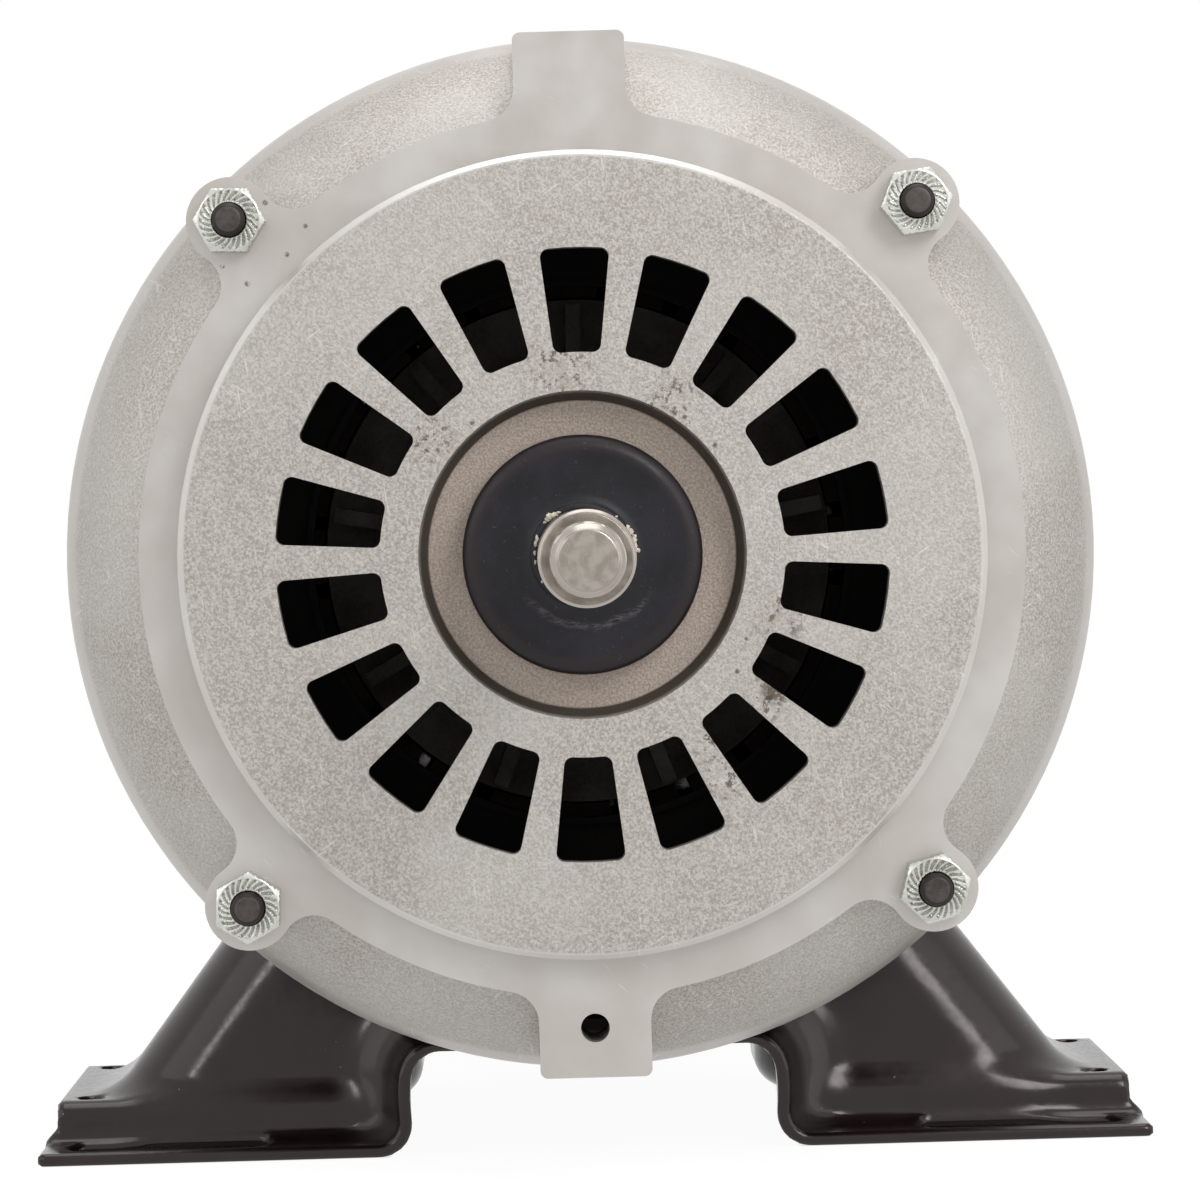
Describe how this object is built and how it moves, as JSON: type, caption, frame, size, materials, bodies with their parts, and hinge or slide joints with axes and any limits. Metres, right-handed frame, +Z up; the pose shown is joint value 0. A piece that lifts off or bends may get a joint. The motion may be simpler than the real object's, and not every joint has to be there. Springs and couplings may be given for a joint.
{
  "type": "spa pump motor",
  "caption": "Electric motor with a cast vented end bell, a threaded shaft end through a rubber slinger, long through bolts, a round steel shell and a pressed slotted foot base.",
  "frame": {"origin": "on the shaft axis, in the plane of the machined ring face of the front end bell, at the root of the raised register disc", "axes": "+Y runs along the shaft from the drive end to the rear cover, +Z is up away from the feet, +X is to the right seen from the drive end"},
  "size_m": [0.1687, 0.2884, 0.1629],
  "materials": {
    "cast_aluminium": "satin",
    "cast_rotor_aluminium": "satin",
    "shell_paint": "gloss",
    "base_paint": "gloss",
    "bearing_steel": "polished",
    "spring_steel": "satin",
    "shaft_steel": "satin",
    "slinger_rubber": "matte",
    "lamination": "satin",
    "enamelled_copper": "gloss",
    "zinc_steel": "satin",
    "black_bolt_steel": "satin",
    "green_screw_steel": "satin",
    "brass": "satin",
    "copper": "satin",
    "brown_phenolic": "matte",
    "black_plastic": "satin"
  },
  "bodies": {
    "frame": {"air_baffle": "black_plastic", "board_screws": "zinc_steel", "board_terminals": "brass", "bonding_lug": "copper", "bonding_screw": "brass", "capacitor": "black_plastic", "capacitor_clip": "zinc_steel", "capacitor_terminals": "brass", "clip_screw": "zinc_steel", "conduit_plug": "black_plastic", "cover_screws": "zinc_steel", "front_bearing_outer_race": "bearing_steel", "front_bearing_shields": "bearing_steel", "front_end_bell": "cast_aluminium", "front_snap_ring": "spring_steel", "ground_screw": "green_screw_steel", "main_winding": "enamelled_copper", "motor_shell": "shell_paint", "mounting_base": "base_paint", "overload_protector": "black_plastic", "protector_terminals": "brass", "rear_bearing_outer_race": "bearing_steel", "rear_bearing_shields": "bearing_steel", "rear_cover": "shell_paint", "rear_end_bell": "cast_aluminium", "rear_wave_washer": "spring_steel", "start_winding": "enamelled_copper", "stator_core": "lamination", "switch_base": "brown_phenolic", "switch_contact": "brass", "switch_pin": "zinc_steel", "switch_screws": "zinc_steel", "terminal_board": "brown_phenolic", "thru_bolt_nuts": "zinc_steel", "thru_bolts": "black_bolt_steel"},
    "rotor": {"front_bearing_inner_race": "bearing_steel", "governor_pins": "zinc_steel", "governor_plate": "zinc_steel", "governor_retainer": "spring_steel", "governor_spring": "spring_steel", "rear_bearing_inner_race": "bearing_steel", "rotor_cage": "cast_rotor_aluminium", "rotor_core": "lamination", "shaft": "shaft_steel", "slinger": "slinger_rubber"},
    "front_ball_set": {"front_bearing_balls": "bearing_steel"},
    "rear_ball_set": {"rear_bearing_balls": "bearing_steel"},
    "collar": {"governor_collar": "brown_phenolic"},
    "weight_a": {"governor_weight_a": "zinc_steel"},
    "weight_b": {"governor_weight_b": "zinc_steel"},
    "arm": {"switch_arm": "brass"}
  },
  "joints": [
    {"name": "rotor_spin", "type": "hinge", "parent": "frame", "child": "rotor", "pos_m": [0, 0, 0], "axis": [0, -1, 0], "continuous": true},
    {"name": "front_balls_roll", "type": "hinge", "parent": "frame", "child": "front_ball_set", "pos_m": [0, 0.01, 0], "axis": [0, -1, 0], "continuous": true},
    {"name": "rear_balls_roll", "type": "hinge", "parent": "frame", "child": "rear_ball_set", "pos_m": [0, 0.1615, 0], "axis": [0, -1, 0], "continuous": true},
    {"name": "weight_a_swing", "type": "hinge", "parent": "rotor", "child": "weight_a", "pos_m": [0.0135, 0.1797, 0], "axis": [0, 0, -1], "range_deg": [0, 20], "stiffness_Nm_per_rad": 0.0081, "springref_deg": -97.4},
    {"name": "weight_b_swing", "type": "hinge", "parent": "rotor", "child": "weight_b", "pos_m": [-0.0135, 0.1797, 0], "axis": [0, 0, 1], "range_deg": [0, 20]},
    {"name": "collar_slide", "type": "slide", "parent": "rotor", "child": "collar", "axis": [0, 1, 0], "range_m": [0, 0.0016], "deforming": ["governor_spring"]},
    {"name": "switch_arm_swing", "type": "hinge", "parent": "frame", "child": "arm", "pos_m": [-0.032, 0.1881, 0], "axis": [0, 0, 1], "range_deg": [0, 4.18]}
  ],
  "couplings": [
    {"joint": "front_balls_roll", "follows": "rotor_spin", "ratio": 0.38175},
    {"joint": "rear_balls_roll", "follows": "rotor_spin", "ratio": 0.3808},
    {"joint": "weight_b_swing", "follows": "weight_a_swing", "ratio": 1},
    {"joint": "collar_slide", "follows": "weight_a_swing", "m_per_rad": 0.0045832},
    {"joint": "switch_arm_swing", "follows": "weight_a_swing", "ratio": 0.20835}
  ]
}
